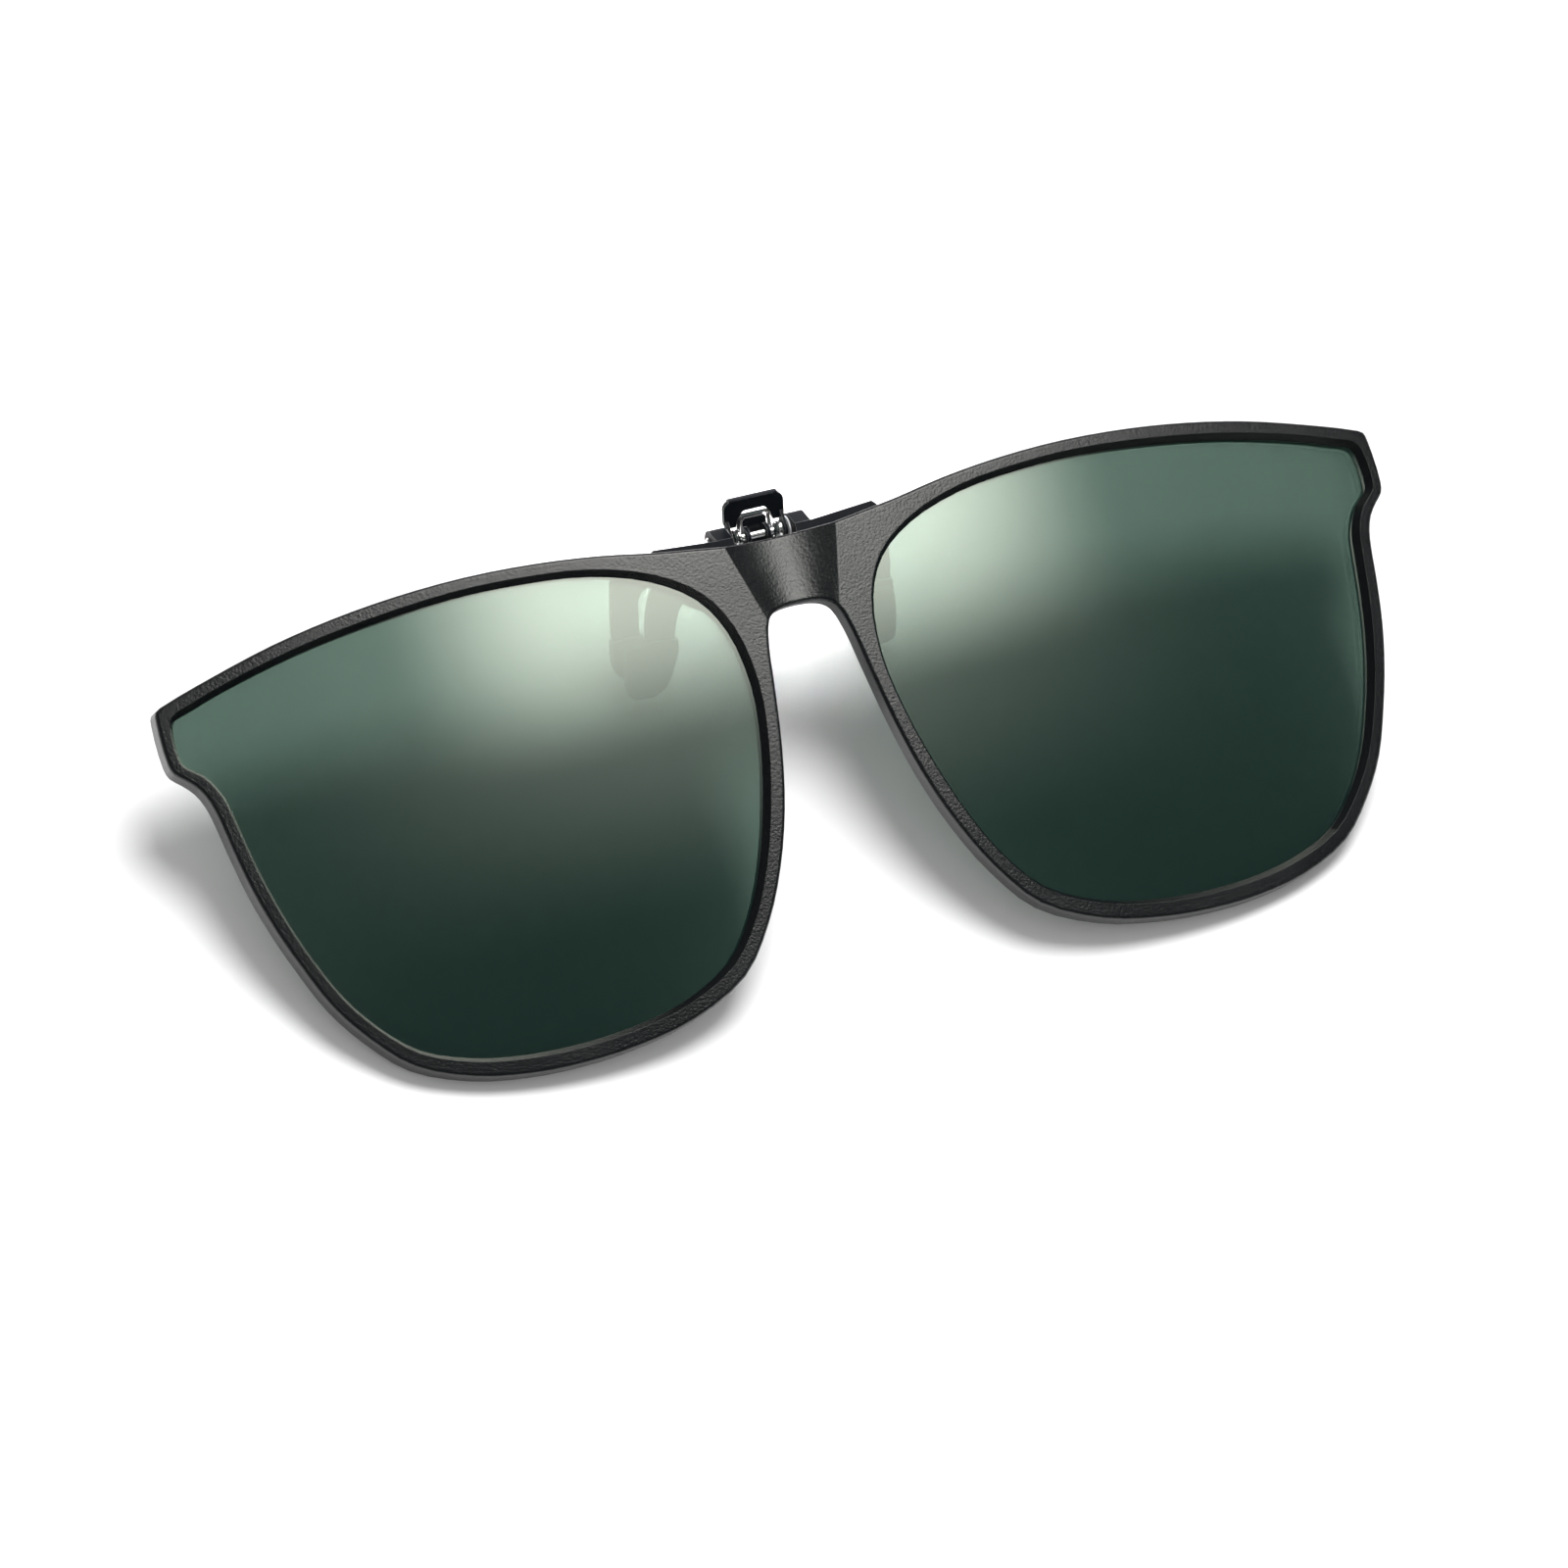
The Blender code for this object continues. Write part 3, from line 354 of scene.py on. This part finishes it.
def clear_lens(node, material, edge_material):
    """Polished lens in a CAD lens's place: same outline and thickness, a chamfered edge, and
    normals that follow the dome exactly, so that it mirrors without facets."""
    bm = bmesh.new()
    bm.from_mesh(frame["nodes"][node].data)
    bmesh.ops.remove_doubles(bm, verts=bm.verts, dist=WELD)
    rim_angle = math.radians(RIM_ANGLE)
    rim = [e for e in bm.edges if len(e.link_faces) == 2 and e.calc_face_angle() > rim_angle]
    bmesh.ops.bevel(bm, geom=rim, offset=LENS_CHAMFER, segments=1, affect="EDGES")
    mesh = bpy.data.meshes.new(node + "_glass")
    bm.to_mesh(mesh)
    bm.free()
    mesh.materials.clear()
    mesh.materials.append(material)
    mesh.materials.append(edge_material)
    mesh.shade_smooth()
    normals = [None] * len(mesh.loops)
    for face in mesh.polygons:
        facing = face.normal.dot(dome_normal(face.center))
        on_face = abs(facing) > FACING
        face.material_index = 0 if on_face else 1
        for loop in face.loop_indices:
            if on_face:
                point = mesh.vertices[mesh.loops[loop].vertex_index].co
                normals[loop] = dome_normal(point) * math.copysign(1.0, facing)
            else:
                normals[loop] = face.normal.copy()
    mesh.normals_split_custom_set(normals)
    obj = bpy.data.objects.new(node + "_glass", mesh)
    bpy.context.collection.objects.link(obj)
    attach(obj, "frame")
    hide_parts(node)
    return obj


# ---------------------------------------------------------------- floor, light, camera
def floor_frame():
    """The floor's normal, and its height along it, under the object lying on its back."""
    lean = math.radians(RESTING_LEAN)
    normal = Vector((0.0, -math.cos(lean), math.sin(lean)))
    nodes = frame["nodes"].values()
    low = min(normal.dot(v.co) for obj in nodes for v in obj.data.vertices)
    return normal, low


def make_floor(normal, low):
    """Square of white paper that the object lies on."""
    middle = LENS_MIDDLE + normal * (low - normal.dot(LENS_MIDDLE) - FLOOR_GAP)
    mesh = bpy.data.meshes.new("floor")
    half = 0.5 * FLOOR_SIZE
    across = Vector((1.0, 0.0, 0.0))
    along = normal.cross(across)
    corners = [middle + across * sx * half + along * sy * half
               for sx, sy in ((-1, -1), (1, -1), (1, 1), (-1, 1))]
    mesh.from_pydata(corners, [], [(0, 1, 2, 3)])
    floor = bpy.data.objects.new("floor", mesh)
    bpy.context.collection.objects.link(floor)
    mesh.materials.append(floor_white())
    if mesh.polygons[0].normal.dot(normal) < 0:
        mesh.flip_normals()


def camera_axes():
    """Camera's right, up and back directions, in the frame's axes."""
    around = math.radians(CAMERA_AROUND)
    above = math.radians(CAMERA_ABOVE)
    roll = math.radians(CAMERA_ROLL)
    back = Vector((-math.sin(around) * math.cos(above), -math.cos(around) * math.cos(above),
                   math.sin(above)))
    level = Vector((math.cos(around), -math.sin(around), 0.0))
    upright = back.cross(level)
    right = math.cos(roll) * level + math.sin(roll) * upright
    up = -math.sin(roll) * level + math.cos(roll) * upright
    return right, up, back


def make_camera():
    """Long lens at CAMERA_DISTANCE from its target."""
    right, up, back = camera_axes()
    data = bpy.data.cameras.new("camera")
    data.lens = CAMERA_LENS
    data.sensor_width = 36.0
    data.clip_start = 0.05
    data.clip_end = 20.0
    camera = bpy.data.objects.new("camera", data)
    bpy.context.collection.objects.link(camera)
    turn = Matrix((right, up, back)).transposed().to_4x4()
    camera.matrix_world = Matrix.Translation(CAMERA_TARGET + back * CAMERA_DISTANCE) @ turn
    bpy.context.scene.camera = camera


def area_light(name, direction, distance, size, power, aim=LENS_MIDDLE):
    """Round light that points at aim from a direction."""
    data = bpy.data.lights.new(name, "AREA")
    data.shape = "DISK"
    data.size = size
    data.energy = power
    light = bpy.data.objects.new(name, data)
    bpy.context.collection.objects.link(light)
    direction = direction.normalized()
    light.location = aim + direction * distance
    light.rotation_mode = "QUATERNION"
    light.rotation_quaternion = direction.to_track_quat("Z", "Y")
    light.visible_glossy = False
    return light


def make_world():
    """White tent. Shiny surfaces facing forward mirror a softbox above the camera, with a
    fainter glow fading away around it and near darkness below and beside it."""
    world = bpy.data.worlds.new("studio")
    bpy.context.scene.world = world
    world.use_nodes = True
    g = Graph(world.node_tree)
    way = g.add("TexCoord").outputs["Generated"]
    way_x, way_y, way_z = g.add("SeparateXYZ", {0: way}).outputs
    sideways = g.math("SUBTRACT", way_x, SOFTBOX_MIDDLE)
    across = g.math("ABSOLUTE", sideways)
    box = g.math("MULTIPLY", g.ramp(across, *SOFTBOX_SIDES), g.ramp(way_z, *SOFTBOX_FOOT))
    glow = g.math("MULTIPLY", g.ramp(sideways, *GLOW_LEFT), g.ramp(sideways, *GLOW_RIGHT))
    glow = g.math("MULTIPLY", glow, g.ramp(way_z, *GLOW_FOOT))
    ahead = g.ramp(way_y, *AHEAD)
    front = g.mix(glow, DARK_LIGHT, GLOW_LIGHT)
    front = g.mix(box, front, SOFTBOX_LIGHT)
    round_about = g.mix(g.ramp(way_z, *CEILING_EDGE), BEHIND_LIGHT, CEILING_LIGHT)
    mirrored = g.mix(ahead, round_about, front)
    shiny = g.add("LightPath").outputs["Is Glossy Ray"]
    colour = g.mix(shiny, TENT_LIGHT, mirrored)
    background = g.add("Background", {"Color": colour, "Strength": 1.0})
    output = g.add("OutputWorld")
    g.put(output.inputs["Surface"], background.outputs[0])


def make_lights(normal, low):
    """Soft key light, and a pool of light on the floor that is seen through the lenses either
    side of the bridge. The pool's beam casts no shadow."""
    right, up, back = camera_axes()
    key = normal + right * KEY_RIGHT + up * KEY_UP
    area_light("key", key, KEY_DISTANCE, KEY_SIZE, KEY_POWER)
    to_floor = (normal.dot(POOL_THROUGH) - low) / normal.dot(back)
    behind = POOL_THROUGH - back * to_floor
    pool = area_light("pool", key, POOL_DISTANCE, POOL_SIZE, POOL_POWER, aim=behind)
    pool.data.spread = math.radians(POOL_SPREAD)
    pool.data.use_shadow = False


bpy.context.scene.view_settings.view_transform = "Standard"
looks = dress(frame["nodes"])
edge_look = lens_edge()
for lens_node in ("lens_left", "lens_right"):
    clear_lens(lens_node, looks["lens_tint"], edge_look)
floor_normal, floor_low = floor_frame()
make_floor(floor_normal, floor_low)
make_camera()
make_world()
make_lights(floor_normal, floor_low)
